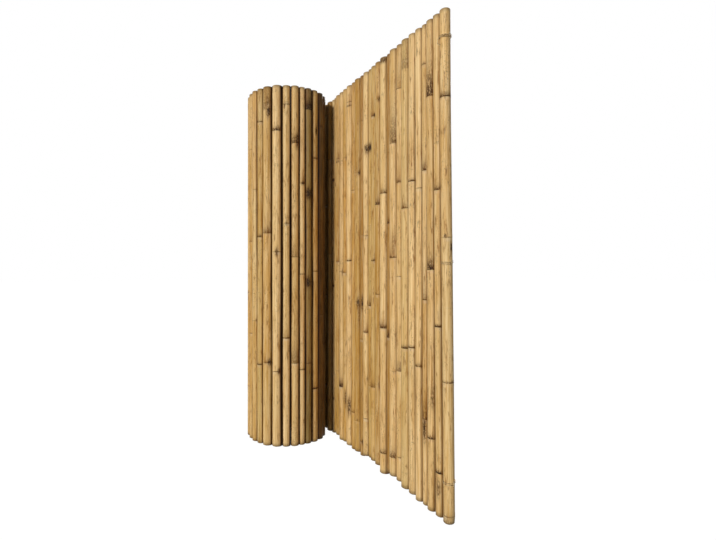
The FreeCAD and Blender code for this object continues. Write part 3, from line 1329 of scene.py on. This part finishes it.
    def build(self) -> list[bpy.types.Object]:
        """Makes every cane.

        Returns:
            The canes, free end first.
        """
        stoutest = max(axis.foot_radius for axis in self.axes)
        pieces = []
        for index, axis in enumerate(self.axes):
            number = index + 1
            to_viewer = self.viewer - axis.foot
            cane = Cane(
                number,
                axis,
                self.cast(number),
                self.marks.get(number, ()),
                self.neighbour(index, -1),
                self.neighbour(index, 1),
                min(self.spare(index), stoutest - axis.foot_radius),
                self.crease_shade(number),
                math.atan2(to_viewer.y, to_viewer.x),
            )
            piece = cane.build(f"stem_{number:02d}", self.finishes)
            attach(piece, BODY)
            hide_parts(self.node_name(number) if number <= self.single_canes else self.hidden_node)
            pieces.append(piece)
        return pieces


@dataclass
class BindingWire:
    """One wire through every cane, wound off about the canes at both ends of the mat."""

    node: str
    mat: CaneMat
    material: bpy.types.Material
    eyed: bool = False
    radius: float = 0.6 * MM
    clearance: float = 0.35 * MM
    turns: int = 2
    rise: float = 3.2 * MM
    tail: float = 10 * MM
    points_a_turn: int = 20
    twist_points: int = 14
    points_a_twist: int = 5
    twist_reach: float = 0.5 * MM
    start_depth: float = 1.5 * MM
    skin_depth: float = 0.4 * MM
    bend_out: float = 0.3 * MM
    bend_back: float = 1.0 * MM
    knot_out: float = 0.9 * MM
    roundness: int = 2
    eye_width: float = 5 * MM
    eye_height: float = 6 * MM
    eye_lean: tuple[float, float] = (-0.46, -0.89)

    def height(self) -> float:
        """Height at which the wire runs, below its loops."""
        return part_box(self.node)[1].z - self.rise * self.turns - self.radius

    def end_route(self, index: int, outwards: Vector, height: float) -> list[Vector]:
        """Centre line out of an end cane, round it and into a short tail.

        Args:
            index: The end cane.
            outwards: Direction in which the mat ends.
            height: The wire's height.

        Returns:
            Points from the cane outwards.
        """
        axis = self.mat.axes[index]
        middle = axis.at(height)
        face = Vector((0, -1, 0)) if index == 0 else Vector((-outwards.y, outwards.x, 0))
        reach = axis.foot_radius + self.clearance + 2 * self.radius
        route = [middle + outwards * (reach - depth) for depth in (self.start_depth, self.skin_depth)]
        steps = self.turns * self.points_a_turn
        for k in range(2, steps - 1):
            share = k / self.points_a_turn
            angle = FULL_TURN * share
            sway = outwards * math.cos(angle) + face * math.sin(angle)
            route.append(middle + sway * reach + Vector((0, 0, self.rise * share)))
        top = middle + Vector((0, 0, self.rise * self.turns))
        route.append(top + outwards * (reach + self.bend_out) - face * self.bend_back)
        knot = top + outwards * (reach + self.knot_out)
        for k in range(self.twist_points):
            angle = FULL_TURN * k / self.points_a_twist
            twist = outwards * math.cos(angle) + face * math.sin(angle)
            drop = Vector((0, 0, self.tail * k / (self.twist_points - 1)))
            route.append(knot + twist * self.twist_reach - drop)
        return route

    def route(self) -> list[Vector]:
        """Centre line of the whole wire, wound off at both ends.

        Returns:
            Points from the free end's tail to the tail inside the roll.
        """
        height = self.height()
        last = len(self.mat.axes) - 1
        outer = self.end_route(0, self.mat.along(0) * -1, height)
        inner = self.end_route(last, self.mat.along(last), height)
        return outer[::-1] + [axis.at(height) for axis in self.mat.axes] + inner

    def eye(self) -> list[Vector]:
        """Centre line of the spare end, out of the gap beside the end cane and bent into a small eye.

        Returns:
            Points from the gap outwards.
        """
        near, far = self.mat.axes[:2]
        height = self.height()
        gap = (near.at(height) + far.at(height)) / 2
        out = Vector((*self.eye_lean, 0)).normalized()
        proud = Vector((-out.y, out.x, 0)) * 2 * self.radius
        knot = near.at(height) + out * near.foot_radius + proud
        route = [gap, gap.lerp(knot, 0.6), knot]
        for k in range(self.points_a_turn):
            angle = FULL_TURN * (k + 1) / self.points_a_turn
            aside = out * self.eye_width / 2 * (1 - math.cos(angle))
            rise = self.eye_height * (math.sin(angle) / 2 + math.cos(angle / 2) - 1)
            route.append(knot + aside + Vector((0, 0, rise)) + proud * k / self.points_a_turn)
        return route

    def smooth(self, points: list[Vector], cuts: int = 3) -> np.ndarray:
        """Rounds a polyline with a Catmull-Rom curve.

        Args:
            points: The polyline.
            cuts: Points for each run.

        Returns:
            The points of the curve.
        """
        p = np.array([points[0], *points, points[-1]])
        out = []
        for k in range(1, len(p) - 2):
            a, b, c, d = p[k - 1 : k + 3]
            for t in np.arange(cuts) / cuts:
                square, cube = 2 * a - 5 * b + 4 * c - d, 3 * b - a - 3 * c + d
                out.append(0.5 * (2 * b + (c - a) * t + square * t**2 + cube * t**3))
        return np.array([*out, p[-1]])

    def build(self) -> bpy.types.Object:
        """Makes the wire as one tube.

        Returns:
            The wire.
        """
        routes = [self.route(), self.eye()] if self.eyed else [self.route()]
        curve = bpy.data.curves.new(self.node + "_line", "CURVE")
        curve.dimensions = "3D"
        curve.bevel_depth = self.radius
        curve.bevel_resolution = self.roundness
        curve.use_fill_caps = True
        for line in map(self.smooth, routes):
            spline = curve.splines.new("POLY")
            spline.points.add(len(line) - 1)
            points = np.column_stack([line, np.ones(len(line))]).astype(np.float32)
            spline.points.foreach_set("co", points.ravel())
        holder = placed(self.node + "_line", curve)
        mesh = bpy.data.meshes.new_from_object(holder.evaluated_get(bpy.context.evaluated_depsgraph_get()))
        bpy.data.objects.remove(holder)
        mesh.materials.clear()
        mesh.materials.append(self.material)
        mesh.polygons.foreach_set("use_smooth", [True] * len(mesh.polygons))
        piece = placed(self.node + "_strand", mesh)
        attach(piece, BODY)
        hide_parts(self.node)
        return piece


@dataclass(frozen=True)
class Lamp:
    """A soft sun: the way to it from the object, its strength and its apparent width in degrees."""

    name: str
    right: float
    ahead: float
    up: float
    strength: float
    width: float


@dataclass
class Studio:
    """Floor, lights, world and camera."""

    eye: Vector = field(default_factory=lambda: Vector((1.04113, -0.43971, 0.489)))
    heading: float = math.radians(62.565)
    focal_pixels: float = 442.3
    image_width: int = 716
    sensor: float = 36.0
    horizon_drop: float = -0.2
    sky: float = 0.09
    floor_size: float = 40.0
    nearest: float = 0.02
    lamps: tuple[Lamp, ...] = (
        Lamp("key", -0.59, -0.81, 0.4, 2.2, 9),
        Lamp("fill", -1.0, -0.25, 0.2, 0.5, 30),
        Lamp("front", 0.4, -1.0, 0.2, 0.4, 20),
        Lamp("back", 0.2, 1.0, 0.45, 2.0, 20),
    )

    def floor(self) -> None:
        """Lays the ground at the object's feet."""
        mesh = bpy.data.meshes.new("floor")
        edit = bmesh.new()
        bmesh.ops.create_grid(edit, x_segments=1, y_segments=1, size=self.floor_size / 2)
        edit.to_mesh(mesh)
        edit.free()
        mesh.materials.append(PaleFloor().material())
        ground = placed("floor", mesh)
        ground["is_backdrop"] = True

    def light(self, lamp: Lamp) -> None:
        """Adds one soft sun.

        Args:
            lamp: Where it stands, seen from the camera, and what it gives.
        """
        ahead = Vector((-math.sin(self.heading), math.cos(self.heading), 0))
        right = Vector((math.cos(self.heading), math.sin(self.heading), 0))
        towards = right * lamp.right + ahead * lamp.ahead + Vector((0, 0, lamp.up))
        data = bpy.data.lights.new(lamp.name, "SUN")
        data.energy = lamp.strength
        data.angle = math.radians(lamp.width)
        sun = placed(lamp.name, data)
        sun.rotation_mode = "QUATERNION"
        sun.rotation_quaternion = towards.to_track_quat("Z", "Y")

    def world(self) -> None:
        """Sets an even sky that the eye and gloss see as plain white."""
        g = Graph(bpy.data.worlds.new("studio_sky"))
        strength = g.seen() * (1 - self.sky) + self.sky
        sky = g.value("ShaderNodeBackground", 0, {}, {"Color": (1.0, 1.0, 1.0), "Strength": strength})
        g.node("ShaderNodeOutputWorld", {}, {"Surface": sky})
        bpy.context.scene.world = g.owner

    def camera(self) -> None:
        """Sets the camera at the photograph's viewing angle."""
        data = bpy.data.cameras.new("camera")
        data.sensor_width = self.sensor
        data.lens = self.focal_pixels / self.image_width * self.sensor
        data.shift_y = self.horizon_drop / self.image_width
        data.clip_start = self.nearest
        eye = placed("camera", data)
        eye.location = self.eye
        eye.rotation_euler = (math.pi / 2, 0, self.heading)
        bpy.context.scene.camera = eye

    def build(self) -> None:
        """Sets up everything about the object."""
        self.floor()
        self.world()
        for lamp in self.lamps:
            self.light(lamp)
        self.camera()
        bpy.context.scene.view_settings.view_transform = "Standard"


def main() -> None:
    """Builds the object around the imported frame."""
    logging.basicConfig(level=logging.INFO)
    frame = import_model()
    cad_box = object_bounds()
    finishes = Finishes.build()
    studio = Studio()
    mat = CaneMat(frame["nodes"], finishes, studio.eye, cad_box)
    pieces = mat.build()
    for node in ("bottom_wire", "middle_wire", "top_wire"):
        pieces.append(BindingWire(node, mat, finishes.wire, node == "top_wire").build())
    studio.build()
    for piece in pieces:
        LOG.info("%s: %d faces", piece.name, len(piece.data.polygons))


if __name__ == "__main__":
    main()
